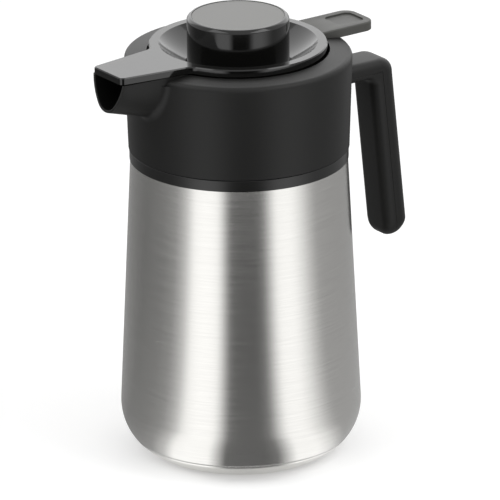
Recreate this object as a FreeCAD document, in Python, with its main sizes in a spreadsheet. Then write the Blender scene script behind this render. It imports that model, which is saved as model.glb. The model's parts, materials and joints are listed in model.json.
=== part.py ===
import FreeCAD, Part
import math
import os
import re

import Sketcher

# Thermal carafe: steel vacuum jug with a black pouring collar, a hinged lid and a push knob.
# Frame: origin at the centre of the base, +Z up, spout towards -X, handle towards +X. Millimetres.

SIZES = {
    # Steel body
    "base_radius": 47.5,
    "belly_radius": 67.8,
    "belly_height": 30.6,
    "shell_top_radius": 61.1,
    "shell_top": 173.5,
    "shell_wall": 1.0,
    "cap_height": 9.8,
    "cap_wall": 1.2,
    "cap_seam": 0.2,
    "plate_wall": 1.0,
    "plate_rim": 8.0,
    "plug_radius": 6.0,
    "plug_thickness": 1.0,
    "vacuum_gap": 4.0,
    "flask_wall": 1.0,
    "shoulder_width": 7.0,
    "shoulder_rise": 10.5,
    "neck_inset": 25.0,
    "neck_gap": 2.0,
    "neck_height": 26.5,
    "lip_thickness": 1.0,
    "weld_gap": 0.02,
    # Ring, neck fittings and collar
    "ring_overhang": 0.4,
    "ring_height": 6.5,
    "ring_step": 1.0,
    "ring_seam": 0.5,
    "gasket_thickness": 1.0,
    "gasket_width": 3.4,
    "thread_ring_wall": 4.2,
    "thread_ring_height": 9.5,
    "thread_drop": 1.5,
    "thread_gap": 0.03,
    "collar_overhang": 0.9,
    "collar_flare": 1.8,
    "collar_height": 56.6,
    "collar_edge_drop": 1.4,
    "collar_edge_round": 3.0,
    "collar_wall": 3.0,
    "collar_lip_width": 12.5,
    "ledge_width": 3.3,
    "chamber_wall": 2.5,
    "chamber_floor": 2.5,
    "collar_skirt": 12.0,
    "pour_step": 2.0,
    # Spout
    "spout_reach": 91.0,
    "spout_overlap": 2.0,
    "spout_lift": 0.2,
    "spout_depth": 18.7,
    "spout_half_width": 14.7,
    "spout_flare": 0.095,
    "spout_rise": 0.295,
    "spout_keel": 10.0,
    "spout_keel_flare": 0.05,
    "spout_keel_angle": 50.0,
    "spout_wall": 1.6,
    "spout_mouth_lean": 3.0,
    "spout_root_round": 6.0,
    "spout_root_margin": 1.0,
    # Lid
    "lid_gap": 1.3,
    "lid_rise": 4.5,
    "dish_gap": 0.3,
    "lid_seat_gap": 0.6,
    "lid_wall": 2.5,
    "rim_width": 5.5,
    "dish_depth": 10.8,
    "dish_curve": 60.0,
    "guide_gap": 0.3,
    "guide_wall": 2.0,
    "guide_length": 11.3,
    "tongue_reach": 89.4,
    "tongue_half_width": 13.6,
    "tongue_root_margin": 2.8,
    "tongue_gap": 0.4,
    "tongue_bevel": 0.6,
    "tongue_corner": 3.0,
    "tongue_root_round": 8.0,
    # Underplate, stopper and their screws
    "underplate_gap": 0.2,
    "underplate_wall": 2.5,
    "cup_wall": 2.0,
    "cup_floor": 2.0,
    "cup_clear": 4.0,
    "hub_radius": 5.5,
    "hub_height": 13.0,
    "stopper_gap": 0.2,
    "stopper_gasket_width": 5.0,
    "flange_gap": 5.5,
    "stopper_gasket_thickness": 1.0,
    "stopper_flange": 2.5,
    "stopper_side_gap": 1.5,
    "stopper_taper": 8.5,
    "stopper_drop": 15.5,
    "stopper_wall": 2.5,
    "stopper_floor": 3.0,
    "post_radius": 3.5,
    "post_margin": 4.5,
    "boss_radius": 3.2,
    "boss_height": 6.5,
    "boss_margin": 9.0,
    "small_screw_radius": 1.5,
    "small_screw_head": 2.8,
    "small_screw_head_height": 1.8,
    "small_screw_length": 8.0,
    "screw_gap": 0.05,
    # Thumb piece and hinge
    "thumb_overhang": 22.2,
    "thumb_half_width": 13.4,
    "thumb_drop": 1.2,
    "thumb_thickness": 5.1,
    "thumb_corner": 7.5,
    "thumb_edge_round": 1.0,
    "thumb_seam": 0.5,
    "thumb_web_step": 0.5,
    "thumb_arm_half_width": 9.0,
    "thumb_arm_thickness": 3.0,
    "thumb_arm_length": 11.0,
    "thumb_screw_margin": 7.0,
    "thumb_screw_spacing": 5.5,
    "thumb_screw_length": 4.5,
    "dimple_half_width": 8.5,
    "dimple_length": 18.0,
    "dimple_margin": 3.8,
    "dimple_depth": 0.9,
    "dimple_corner": 4.0,
    "hinge_inset": 5.8,
    "knuckle_radius": 4.8,
    "notch_gap": 0.5,
    "pin_radius": 1.5,
    "pin_gap": 0.05,
    "pin_hold": 3.6,
    "hinge_block_margin": 6.0,
    "hinge_block_depth": 6.0,
    # Handle
    "arm_drop": 22.0,
    "arm_thickness": 10.5,
    "arm_seam": 7.0,
    "grip_clear": 22.55,
    "grip_depth": 16.8,
    "grip_seam": 6.5,
    "grip_lean": 5.9,
    "grip_length": 98.5,
    "grip_half_width": 11.8,
    "handle_corner": 10.5,
    "handle_inner_corner": 4.5,
    "handle_shell_end": 8.6,
    "handle_liner_end": 6.2,
    "handle_shell_round": 6.8,
    "handle_liner_round": 3.3,
    "handle_root_gap": 0.05,
    "handle_screw_radius": 1.7,
    "handle_screw_head": 3.2,
    "handle_screw_head_height": 2.2,
    "handle_screw_length": 14.0,
    "handle_screw_spacing": 6.0,
    "handle_screw_drop": 0.5,
    # Knob, valve and spring
    "knob_margin": 21.3,
    "knob_height": 15.6,
    "knob_skirt": 17.1,
    "knob_wall": 2.5,
    "knob_bevel": 1.6,
    "knob_rim": 2.6,
    "disc_gap": 0.25,
    "disc_thickness": 1.2,
    "disc_drop": 0.2,
    "socket_radius": 6.0,
    "socket_depth": 8.0,
    "stem_radius": 3.0,
    "stem_gap": 0.05,
    "button_travel": 5.0,
    "valve_hole": 10.0,
    "valve_overlap": 4.0,
    "valve_thickness": 3.0,
    "valve_gap": 0.1,
    "seal_thickness": 1.0,
    "seal_width": 3.5,
    "valve_screw_head": 4.0,
    "valve_screw_head_height": 1.6,
    "valve_screw_radius": 1.5,
    "valve_screw_length": 9.0,
    "spring_radius": 8.0,
    "spring_wire": 0.6,
    "spring_turns": 8.0,
    "spring_gap": 0.1,
}

# Sizes that follow from the ones above.
WORKED_OUT = {
    "lean_slope": "(belly_radius - shell_top_radius) / (shell_top - belly_height)",
    "lean_cos": "1 / sqrt(1 + lean_slope ^ 2)",
    "lean_sin": "lean_slope * lean_cos",
    "belly_step": "belly_radius - base_radius",
    "base_spread": "belly_step * lean_cos + belly_height * lean_sin",
    "base_curve": "(belly_step ^ 2 + belly_height ^ 2) / (2 * base_spread)",
    "curve_radius": "belly_radius - base_curve * lean_cos",
    "curve_height": "belly_height - base_curve * lean_sin",
    "plate_offset": "shell_wall + weld_gap",
    "flask_offset": "shell_wall + vacuum_gap",
    "flask_base": "cap_height + plate_wall + vacuum_gap",
    "flask_top": "shell_top - shell_wall - vacuum_gap",
    "shoulder_radius": "shell_top_radius - shoulder_width",
    "flask_shoulder": "shoulder_radius - vacuum_gap / 2",
    "ring_radius": "shell_top_radius + ring_overhang",
    "collar_base_radius": "shell_top_radius + collar_overhang",
    "neck_radius": "collar_base_radius - neck_inset",
    "neck_outside": "neck_radius + flask_wall + neck_gap + shell_wall",
    "neck_top": "shell_top + neck_height",
    "collar_top_radius": "collar_base_radius + collar_flare",
    "collar_base": "shell_top + ring_height + ring_seam",
    "collar_top": "collar_base + collar_height - ring_seam",
    "collar_edge": "collar_top - collar_edge_drop - collar_edge_round",
    "collar_slope": "collar_flare / (collar_edge - collar_base)",
    "floor_low": "neck_top + gasket_thickness",
    "floor_top": "floor_low + chamber_floor",
    "thread_radius": "neck_outside + thread_ring_wall",
    "recess_radius": "collar_top_radius - collar_lip_width",
    "chamber_radius": "recess_radius - ledge_width",
    "pour_radius": "neck_radius - pour_step",
    "spout_start": "chamber_radius - spout_overlap",
    "chamber_outside": "chamber_radius + chamber_wall",
    "recess_outside": "recess_radius + chamber_wall",
    "rim_height": "collar_top + lid_rise",
    "dish_low": "rim_height - dish_depth",
    "lid_bottom": "dish_low - lid_wall - dish_gap",
    "lid_radius": "recess_radius - lid_gap",
    "knob_radius": "lid_radius - knob_margin",
    "boss_circle": "lid_radius - boss_margin",
    "ledge_height": "lid_bottom - lid_seat_gap",
    "rim_inside": "lid_radius - rim_width",
    "tongue_root_half_width": "sqrt(lid_radius ^ 2 - rim_inside ^ 2) - tongue_root_margin",
    "guide_radius": "knob_radius + guide_gap",
    "guide_outside": "guide_radius + guide_wall",
    "guide_low": "dish_low - guide_length",
    "spout_top": "collar_top + spout_lift",
    "tongue_low": "spout_top + tongue_gap",
    "cup_radius": "guide_outside + underplate_gap",
    "knob_top": "rim_height + knob_height",
    "knob_low": "rim_height - knob_skirt",
    "cup_top": "knob_low - button_travel - cup_clear",
    "cup_low": "cup_top - cup_floor",
    "plate_low": "lid_bottom - underplate_wall",
    "plate_radius": "lid_radius - lid_wall - underplate_gap",
    "seat_height": "floor_top + stopper_gap",
    "flange_low": "seat_height + stopper_gasket_thickness",
    "flange_top": "flange_low + stopper_flange",
    "flange_radius": "chamber_radius - flange_gap",
    "post_circle": "flange_radius - post_margin",
    "stopper_radius": "pour_radius - stopper_side_gap",
    "stopper_end": "stopper_radius - stopper_taper",
    "stopper_low": "floor_top - stopper_drop",
    "hinge_place": "collar_top_radius - hinge_inset",
    "hinge_height": "lid_bottom + knuckle_radius",
    "thumb_reach": "collar_top_radius + thumb_overhang",
    "thumb_arm_reach": "lid_radius - thumb_arm_length",
    "thumb_screw_place": "lid_radius - thumb_screw_margin",
    "thumb_top": "rim_height - thumb_drop",
    "thumb_low": "thumb_top - thumb_thickness",
    "notch_half_width": "thumb_half_width + notch_gap",
    "pin_half_length": "notch_half_width + pin_hold",
    "arm_top": "collar_top - arm_drop",
    "arm_low": "arm_top - arm_thickness",
    "arm_split": "arm_top - arm_seam",
    "arm_low_spread": "collar_slope * (arm_low - collar_base)",
    "arm_top_spread": "collar_slope * (arm_top - collar_base)",
    "arm_root": "collar_base_radius + min(arm_low_spread; arm_top_spread)",
    "grip_place": "arm_root + grip_clear",
    "grip_low": "arm_low - grip_length",
    "handle_screw_height": "arm_split + arm_seam / 2 - handle_screw_drop",
    "handle_screw_edge": "handle_screw_spacing + handle_screw_head",
    "handle_screw_seat": "sqrt((arm_root - collar_wall) ^ 2 - handle_screw_edge ^ 2)",
    "disc_radius": "knob_radius - knob_rim - disc_gap",
    "knob_inside": "knob_radius - knob_wall",
    "knob_roof": "knob_top - disc_drop - disc_thickness - knob_wall",
    "valve_radius": "valve_hole + valve_overlap",
    "seal_top": "stopper_low - valve_gap",
    "valve_top": "seal_top - seal_thickness",
    "valve_low": "valve_top - valve_thickness",
}

NAMES = set(SIZES) | set(WORKED_OUT)

# Smallest length or volume that counts as a difference.
TOLERANCE = 0.01

doc = FreeCAD.newDocument("ThermalCarafe")
sheet = doc.addObject("Spreadsheet::Sheet", "Sizes")


def fill_sheet():
    """Write every size into the sheet, one row each, under its own name."""
    rows = [(name, str(number)) for name, number in SIZES.items()]
    rows += [(name, "=" + formula) for name, formula in WORKED_OUT.items()]
    for row, (name, content) in enumerate(rows, start=1):
        sheet.set(f"A{row}", name)
        sheet.set(f"B{row}", content)
        sheet.setAlias(f"B{row}", name)
    doc.recompute()


def bound(text):
    """Formula text with each size written as a cell of the sheet."""
    return re.sub(r"[a-z][a-z_]*", lambda word: "Sizes." + word[0] if word[0] in NAMES else word[0], text)


def value(text):
    """Present number of a formula."""
    return float(sheet.evalExpression(bound(text)))


def bind(thing, prop, text):
    """Tie a property to a formula of the sheet."""
    thing.setExpression(prop, bound(text))


# Sketch and feature helpers


def new_body(label):
    body = doc.addObject("PartDesign::Body", label)
    body.Label = label
    return body


def new_sketch(body, plane, offset="0"):
    """Empty sketch on one of the body's own origin planes, moved along the plane's normal."""
    support = [feature for feature in body.Origin.OriginFeatures if feature.Role == plane][0]
    sketch = body.newObject("Sketcher::SketchObject", body.Name + "_sketch")
    sketch.AttachmentSupport = (support, "")
    sketch.MapMode = "FlatFace"
    bind(sketch, "AttachmentOffset.Base.z", offset)
    return sketch


def pin_point(sketch, geo, end, corner):
    """Hold one point of the sketch at its two formulas, measured from the origin."""
    for kind, axis, text in (("DistanceX", -2, corner[0]), ("DistanceY", -1, corner[1])):
        if text == "0":
            sketch.addConstraint(Sketcher.Constraint("PointOnObject", geo, end, axis))
        else:
            index = sketch.addConstraint(Sketcher.Constraint(kind, -1, 1, geo, end, value(text)))
            bind(sketch, f"Constraints[{index}]", text)


def arc_between(start, finish, radius, turn):
    """Lesser arc from start to finish that turns left or right."""
    side = 1 if turn == "left" else -1
    chord = finish - start
    reach = math.sqrt(max(radius ** 2 - chord.Length ** 2 / 4, 0))
    normal = FreeCAD.Vector(-chord.y, chord.x, 0) / chord.Length
    centre = (start + finish) / 2 + normal * reach * side
    ends = (start, finish) if side == 1 else (finish, start)
    low, high = [math.atan2(end.y - centre.y, end.x - centre.x) for end in ends]
    circle = Part.Circle(centre, FreeCAD.Vector(0, 0, 1), radius)
    return Part.ArcOfCircle(circle, low, high if high > low else high + 2 * math.pi)


def draw_outline(sketch, corners):
    """Closed outline. A corner is (x, y), or (x, y, radius, turn) where an arc leads to the next one."""
    points = [FreeCAD.Vector(value(corner[0]), value(corner[1]), 0) for corner in corners]
    ends = []
    for index, corner in enumerate(corners):
        start = points[index]
        finish = points[(index + 1) % len(points)]
        if len(corner) == 2:
            geo = sketch.addGeometry(Part.LineSegment(start, finish), False)
            ends.append((geo, 1, 2))
        else:
            geo = sketch.addGeometry(arc_between(start, finish, value(corner[2]), corner[3]), False)
            ends.append((geo, 1, 2) if corner[3] == "left" else (geo, 2, 1))
    for (geo, first, last), (after, begin, end) in zip(ends, ends[1:] + ends[:1]):
        sketch.addConstraint(Sketcher.Constraint("Coincident", geo, last, after, begin))
    for (geo, first, last), corner in zip(ends, corners):
        pin_point(sketch, geo, first, corner)
        if len(corner) == 4:
            index = sketch.addConstraint(Sketcher.Constraint("Radius", geo, value(corner[2])))
            bind(sketch, f"Constraints[{index}]", corner[2])


def draw_circles(sketch, circles):
    """Circles given as (x, y, radius)."""
    for x, y, radius in circles:
        centre = FreeCAD.Vector(value(x), value(y), 0)
        geo = sketch.addGeometry(Part.Circle(centre, FreeCAD.Vector(0, 0, 1), value(radius)), False)
        pin_point(sketch, geo, 3, (x, y))
        index = sketch.addConstraint(Sketcher.Constraint("Radius", geo, value(radius)))
        bind(sketch, f"Constraints[{index}]", radius)


def outline_sketch(body, plane, corners, offset="0"):
    sketch = new_sketch(body, plane, offset)
    draw_outline(sketch, corners)
    return sketch


def feature_on(body, kind, sketch):
    feature = body.newObject("PartDesign::" + kind, body.Name + "_" + kind.lower())
    feature.Profile = sketch
    return feature


def turn(body, corners, kind="Revolution"):
    """Turn an outline of (radius, height) corners about the vertical axis; a Groove cuts instead."""
    sketch = outline_sketch(body, "XZ_Plane", corners)
    feature = feature_on(body, kind, sketch)
    feature.ReferenceAxis = (sketch, ["V_Axis"])
    feature.Angle = 360
    settle(body, kind)
    return feature


def extrude(body, kind, sketch, length, both_ways=False):
    """Pad or Pocket of a sketch; both_ways spreads the length evenly about the sketch."""
    feature = feature_on(body, kind, sketch)
    if both_ways:
        feature.SideType = "Symmetric"
    elif kind == "Pocket":
        feature.Reversed = True
    bind(feature, "Length", length)
    settle(body, kind)
    return feature


def settle(body, kind):
    """Recompute, and stop where a cut removed nothing or a feature failed."""
    doc.recompute()
    tip = body.Tip
    if not tip.isValid():
        raise RuntimeError(f"{body.Label}: {tip.Name} failed")
    base = tip.BaseFeature
    if kind in ("Pocket", "Groove", "SubtractiveLoft") and tip.Shape.Volume > base.Shape.Volume - TOLERANCE:
        raise RuntimeError(f"{body.Label}: {tip.Name} cuts nothing")


def round_edges(body, test, radius, kind="Fillet"):
    """Fillet or chamfer the edges of the body's last feature whose middle passes the test."""
    base = body.Tip
    names = []
    for number, edge in enumerate(base.Shape.Edges, start=1):
        middle = edge.valueAt((edge.FirstParameter + edge.LastParameter) / 2)
        if not edge.Degenerated and test(middle, edge):
            names.append(f"Edge{number}")
    feature = body.newObject("PartDesign::" + kind, body.Name + "_" + kind.lower())
    feature.Base = (base, names)
    bind(feature, "Radius" if kind == "Fillet" else "Size", radius)
    settle(body, kind)
    return feature


def near(first, second, tolerance=TOLERANCE):
    return abs(first - second) < tolerance


def loft(body, sections, kind):
    """Additive or subtractive loft through upright sections given as (distance towards -X, corners)."""
    sketches = [outline_sketch(body, "YZ_Plane", corners, f"-({place})") for place, corners in sections]
    feature = feature_on(body, kind, sketches[0])
    feature.Sections = sketches[1:]
    feature.Ruled = True
    settle(body, kind)
    return feature


def repeat_round(body, feature, count):
    """Copies of a feature, evenly round the vertical axis."""
    pattern = body.newObject("PartDesign::PolarPattern", body.Name + "_round")
    pattern.Originals = [feature]
    axis = [origin for origin in body.Origin.OriginFeatures if origin.Role == "Z_Axis"][0]
    pattern.Axis = (axis, [""])
    pattern.Angle = 360
    pattern.Occurrences = count
    body.Tip = pattern
    doc.recompute()
    return pattern


# Steel body


def wall_at(height, inset):
    """Radius of the leaning wall at a height, moved inwards by inset."""
    return f"belly_radius - ({height} - belly_height) * lean_slope - ({inset}) / lean_cos"


def belly_at(inset):
    """Corner where the base curve meets the leaning wall, moved inwards by inset."""
    reach = f"(base_curve - ({inset}))"
    return (f"curve_radius + {reach} * lean_cos", f"curve_height + {reach} * lean_sin")


def curve_at(height, inset):
    """Radius of the base curve at a height, moved inwards by inset."""
    return f"curve_radius + sqrt((base_curve - ({inset})) ^ 2 - (curve_height - ({height})) ^ 2)"


def curve_size(inset):
    return f"base_curve - ({inset})"


def make_outer_shell():
    body = new_body("outer_shell")
    top = "shell_top - shell_wall - weld_gap"
    turn(body, [
        (curve_at("cap_height", "0"), "cap_height", "base_curve", "left"),
        belly_at("0"),
        (wall_at(top, "0"), top),
        (wall_at(top, "shell_wall"), top),
        belly_at("shell_wall") + (curve_size("shell_wall"), "right"),
        (curve_at("cap_height", "shell_wall"), "cap_height"),
    ])
    return body


def make_shell_neck():
    """Shoulder and neck, welded to the top of the outer shell."""
    body = new_body("shell_neck")
    low = "shell_top - shell_wall"
    turn(body, [
        (wall_at(low, "0"), low),
        ("shell_top_radius", "shell_top"),
        ("shoulder_radius", "shell_top"),
        ("neck_outside", "shell_top + shoulder_rise"),
        ("neck_outside", "neck_top - lip_thickness"),
        ("neck_outside - shell_wall", "neck_top - lip_thickness"),
        ("neck_outside - shell_wall", "shell_top + shoulder_rise"),
        ("shoulder_radius", low),
    ])
    return body


def make_bottom_cap():
    body = new_body("bottom_cap")
    edge = "cap_height - cap_seam"
    turn(body, [
        ("0", "0"),
        ("base_radius", "0", "base_curve", "left"),
        (curve_at(edge, "0"), edge),
        (curve_at(edge, "cap_wall"), edge, curve_size("cap_wall"), "right"),
        (curve_at("cap_wall", "cap_wall"), "cap_wall"),
        ("0", "cap_wall"),
    ])
    return body


def make_vacuum_base_plate():
    body = new_body("vacuum_base_plate")
    rim = "cap_height + plate_rim"
    inside = "plate_offset + plate_wall"
    turn(body, [
        ("0", "cap_height"),
        (curve_at("cap_height", "plate_offset"), "cap_height", curve_size("plate_offset"), "left"),
        (curve_at(rim, "plate_offset"), rim),
        (curve_at(rim, inside), rim, curve_size(inside), "right"),
        (curve_at("cap_height + plate_wall", inside), "cap_height + plate_wall"),
        ("0", "cap_height + plate_wall"),
    ])
    return body


def make_vacuum_plug():
    body = new_body("vacuum_plug")
    turn(body, [
        ("0", "cap_height - plug_thickness"),
        ("plug_radius", "cap_height - plug_thickness"),
        ("plug_radius", "cap_height"),
        ("0", "cap_height"),
    ])
    return body


def make_inner_flask():
    body = new_body("inner_flask")
    inside = "flask_offset + flask_wall"
    floor = "flask_base + flask_wall"
    top = "flask_top - flask_wall - weld_gap"
    turn(body, [
        ("0", "flask_base"),
        (curve_at("flask_base", "flask_offset"), "flask_base", curve_size("flask_offset"), "left"),
        belly_at("flask_offset"),
        (wall_at(top, "flask_offset"), top),
        (wall_at(top, inside), top),
        belly_at(inside) + (curve_size(inside), "right"),
        (curve_at(floor, inside), floor),
        ("0", floor),
    ])
    return body


def make_flask_neck():
    """Shoulder, neck and lip, welded to the flask and to the shell's neck."""
    body = new_body("flask_neck")
    ceiling = "flask_top - flask_wall"
    turn(body, [
        (wall_at(ceiling, "flask_offset"), ceiling),
        (wall_at("flask_top", "flask_offset"), "flask_top"),
        ("flask_shoulder", "flask_top"),
        ("neck_radius + flask_wall", "flask_top + shoulder_rise"),
        ("neck_radius + flask_wall", "neck_top - lip_thickness"),
        ("neck_outside", "neck_top - lip_thickness"),
        ("neck_outside", "neck_top"),
        ("neck_radius", "neck_top"),
        ("neck_radius", "flask_top + shoulder_rise - flask_wall / 2"),
        ("flask_shoulder", ceiling),
    ])
    return body


# Ring and neck fittings


def make_trim_ring():
    body = new_body("trim_ring")
    turn(body, [
        ("shoulder_radius", "shell_top"),
        ("ring_radius", "shell_top"),
        ("ring_radius", "shell_top + ring_height"),
        ("ring_radius - ring_step", "shell_top + ring_height"),
        ("ring_radius - ring_step", "collar_base"),
        ("shoulder_radius", "collar_base"),
    ])
    return body


def make_neck_thread_ring():
    body = new_body("neck_thread_ring")
    top = "neck_top - thread_drop"
    low = f"{top} - thread_ring_height"
    turn(body, [
        ("neck_outside + thread_gap", low),
        ("thread_radius", low),
        ("thread_radius", top),
        ("neck_outside + thread_gap", top),
    ])
    return body


def make_neck_gasket():
    body = new_body("neck_gasket")
    turn(body, [
        ("neck_outside - gasket_width", "neck_top"),
        ("neck_outside", "neck_top"),
        ("neck_outside", "floor_low"),
        ("neck_outside - gasket_width", "floor_low"),
    ])
    return body


# Collar with its spout


def collar_outside(height):
    """Radius of the collar's flaring outside at a height."""
    return f"collar_base_radius + ({height} - collar_base) * collar_slope"


def spout_section(place, inset, top):
    """Upright spout section at a distance towards -X, moved inwards by inset and open up to top."""
    back = f"(spout_reach - ({place}))"
    width = f"spout_half_width + {back} * spout_flare - ({inset})"
    keel = f"spout_keel + {back} * spout_keel_flare - ({inset})"
    low = f"spout_top - spout_depth - {back} * spout_rise + ({inset})"
    keel_cos, keel_sin = "cos(spout_keel_angle * 1 deg)", "sin(spout_keel_angle * 1 deg)"
    edge = f"({keel}) * {keel_sin}"
    edge_height = f"{low} + ({keel}) * (1 - {keel_cos})"
    across = f"({width} - ({edge}))"
    up = f"({top} - ({edge_height}))"
    side = f"({across} ^ 2 + {up} ^ 2) / (2 * ({up} * {keel_cos} - {across} * {keel_sin}))"
    return [
        (f"-({width})", top, side, "left"),
        (f"-({edge})", edge_height, keel, "left"),
        (edge, edge_height, side, "left"),
        (width, top),
    ]


def make_collar():
    body = new_body("collar")
    shoulder_outside = "collar_top_radius - collar_edge_round"
    shoulder_low = "collar_edge + collar_edge_round - collar_wall"
    # Outer wall up to the spout's top, lid recess, pouring chamber and threaded skirt
    turn(body, [
        ("collar_base_radius", "collar_base"),
        (collar_outside("spout_top"), "spout_top"),
        ("recess_radius", "spout_top"),
        ("recess_radius", "ledge_height"),
        ("chamber_radius", "ledge_height"),
        ("chamber_radius", "floor_top"),
        ("pour_radius", "floor_top"),
        ("pour_radius", "floor_low"),
        ("thread_radius + thread_gap", "floor_low"),
        ("thread_radius + thread_gap", "neck_top - collar_skirt"),
        ("chamber_outside", "neck_top - collar_skirt"),
        ("chamber_outside", "ledge_height - chamber_wall"),
        ("recess_outside", "ledge_height - chamber_wall"),
        ("recess_outside", "collar_top - collar_wall"),
        (shoulder_outside, shoulder_low),
        ("collar_base_radius - collar_wall", "collar_base"),
    ])
    # Spout, out of the chamber wall, with a soft round where it leaves the collar
    spout = [
        ("spout_reach", spout_section("spout_reach", "0", "spout_top")),
        ("spout_start", spout_section("spout_start", "0", "spout_top")),
    ]
    loft(body, spout, "AdditiveLoft")
    half_width = value("spout_half_width + spout_reach * spout_flare")
    lowest, highest, margin = value("collar_base"), value("spout_top"), value("spout_root_margin")

    def spout_root(middle, edge):
        """Edges where the spout leaves the outside of the collar."""
        on_wall = near(math.hypot(middle.x, middle.y), value(collar_outside(str(middle.z))))
        beside_spout = middle.x < 0 and abs(middle.y) < half_width
        return on_wall and beside_spout and lowest + margin < middle.z < highest - margin

    round_edges(body, spout_root, "spout_root_round")
    # Shoulder, falling to a rounded edge; the spout then stands through it again
    turn(body, [
        ("recess_radius", "collar_top"),
        (shoulder_outside, "collar_edge + collar_edge_round", "collar_edge_round", "right"),
        ("collar_top_radius", "collar_edge"),
        ("spout_reach", "collar_edge"),
        ("spout_reach", "spout_top + spout_wall"),
        ("recess_radius", "spout_top + spout_wall"),
    ], "Groove")
    loft(body, spout, "AdditiveLoft")
    # Chamber and lid recess, cleared of the spout's inner end
    turn(body, [
        ("0", "floor_top"),
        ("chamber_radius", "floor_top"),
        ("chamber_radius", "ledge_height"),
        ("recess_radius", "ledge_height"),
        ("recess_radius", "spout_top + spout_wall"),
        ("0", "spout_top + spout_wall"),
    ], "Groove")
    # Pouring channel, open at the top and at both ends
    channel_top = "spout_top + spout_wall"
    ends = ("spout_reach + spout_wall", "spout_start - spout_wall")
    loft(body, [(end, spout_section(end, "spout_wall", channel_top)) for end in ends], "SubtractiveLoft")
    # Mouth, cut back a little towards its top
    mouth = outline_sketch(body, "XZ_Plane", [
        ("-spout_reach - spout_wall", "spout_top - spout_depth - spout_wall"),
        ("-spout_reach", "spout_top - spout_depth - spout_wall"),
        ("-spout_reach + spout_mouth_lean", "spout_top + spout_wall"),
        ("-spout_reach - spout_wall", "spout_top + spout_wall"),
    ])
    extrude(body, "Pocket", mouth, "4 * spout_half_width", both_ways=True)
    # Solid block behind the lid that carries the hinge pin
    block = "notch_half_width + hinge_block_margin"
    block_radius = "collar_top_radius - collar_wall / 2"
    block_edge = f"sqrt(({block_radius}) ^ 2 - ({block}) ^ 2)"
    block_low = "ledge_height - hinge_block_depth"
    foot = outline_sketch(body, "XY_Plane", [
        ("recess_radius", f"-({block})"),
        (block_edge, f"-({block})", block_radius, "left"),
        (block_edge, block),
        ("recess_radius", block),
    ], block_low)
    extrude(body, "Pad", foot, f"{shoulder_low} + collar_wall / 2 - ({block_low})")
    # Notch for the thumb piece, open to the lid and to the back
    notch = outline_sketch(body, "XY_Plane", [
        ("chamber_radius - lid_wall", "-notch_half_width"),
        ("collar_top_radius + collar_wall", "-notch_half_width"),
        ("collar_top_radius + collar_wall", "notch_half_width"),
        ("chamber_radius - lid_wall", "notch_half_width"),
    ], "ledge_height")
    extrude(body, "Pocket", notch, "collar_top - ledge_height + collar_wall")
    # Holes for the hinge pin and the handle screws
    pin_hole = new_sketch(body, "XZ_Plane")
    draw_circles(pin_hole, [("hinge_place", "hinge_height", "pin_radius + weld_gap")])
    extrude(body, "Pocket", pin_hole, "2 * pin_half_length", both_ways=True)
    handle_holes = new_sketch(body, "YZ_Plane", "arm_root - 2 * collar_wall")
    draw_circles(handle_holes, [
        (f"{side} * handle_screw_spacing", "handle_screw_height", "handle_screw_radius + weld_gap")
        for side in (-1, 1)
    ])
    extrude(body, "Pocket", handle_holes, "4 * collar_wall")
    return body


def make_hinge_pin():
    body = new_body("hinge_pin")
    section = new_sketch(body, "XZ_Plane")
    draw_circles(section, [("hinge_place", "hinge_height", "pin_radius")])
    extrude(body, "Pad", section, "2 * (pin_half_length - weld_gap)", both_ways=True)
    return body


# Handle


def grip_at(height, depth):
    """Place along X of the leaning grip at a height, at a depth from its finger side."""
    lean = "grip_lean * 1 deg"
    return f"grip_place + (arm_low - ({height})) * tan({lean}) + ({depth}) / cos({lean})"


def cut_to_collar(body):
    """Shape the handle's root to the outside of the collar."""
    low, high = "arm_low - arm_thickness", "arm_top + arm_thickness"
    turn(body, [
        ("0", low),
        (f"{collar_outside(low)} + handle_root_gap", low),
        (f"{collar_outside(high)} + handle_root_gap", high),
        ("0", high),
    ], "Groove")


def drill_handle(body):
    holes = new_sketch(body, "YZ_Plane", "arm_root - collar_wall")
    draw_circles(holes, [
        (f"{side} * handle_screw_spacing", "handle_screw_height", "handle_screw_radius + weld_gap")
        for side in (-1, 1)
    ])
    extrude(body, "Pocket", holes, "handle_screw_length + weld_gap")


def make_handle_half(label, corners, corner_place, corner_round, end_round, side_round):
    """One half of the handle: a side outline across the grip's width, with its outer edges rounded."""
    body = new_body(label)
    outline = outline_sketch(body, "XZ_Plane", corners)
    extrude(body, "Pad", outline, "2 * grip_half_width", both_ways=True)
    half = value("grip_half_width")
    turn_x, turn_z = value(corner_place[0]), value(corner_place[1])
    end_z = value("grip_low")
    end_x = value(corners[2][0])
    seam_x, seam_z = value(corners[4][0]), value("arm_split")
    lean = math.tan(math.radians(value("grip_lean")))

    def knee(middle, edge):
        return near(middle.y, 0) and near(middle.x, turn_x) and near(middle.z, turn_z)

    def lower_end(middle, edge):
        return near(middle.y, 0) and near(middle.x, end_x) and near(middle.z, end_z)

    def outer_side(middle, edge):
        on_side = near(abs(middle.y), half)
        on_arm_seam = near(middle.z, seam_z)
        on_grip_seam = near(middle.x, seam_x + (seam_z - middle.z) * lean)
        at_root = middle.x < value("arm_root")
        return on_side and not (on_arm_seam or on_grip_seam or at_root)

    round_edges(body, knee, corner_round)
    round_edges(body, lower_end, end_round)
    round_edges(body, outer_side, side_round)
    return body


def make_handle_shell():
    root = "arm_root - collar_wall"
    outer_corner = (grip_at("arm_top", "grip_depth"), "arm_top")
    body = make_handle_half("handle_shell", [
        (root, "arm_top"),
        outer_corner,
        (grip_at("grip_low", "grip_depth"), "grip_low"),
        (grip_at("grip_low", "grip_seam"), "grip_low"),
        (grip_at("arm_split", "grip_seam"), "arm_split"),
        (root, "arm_split"),
    ], outer_corner, "handle_corner", "handle_shell_end", "handle_shell_round")
    cut_to_collar(body)
    drill_handle(body)
    return body


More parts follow.
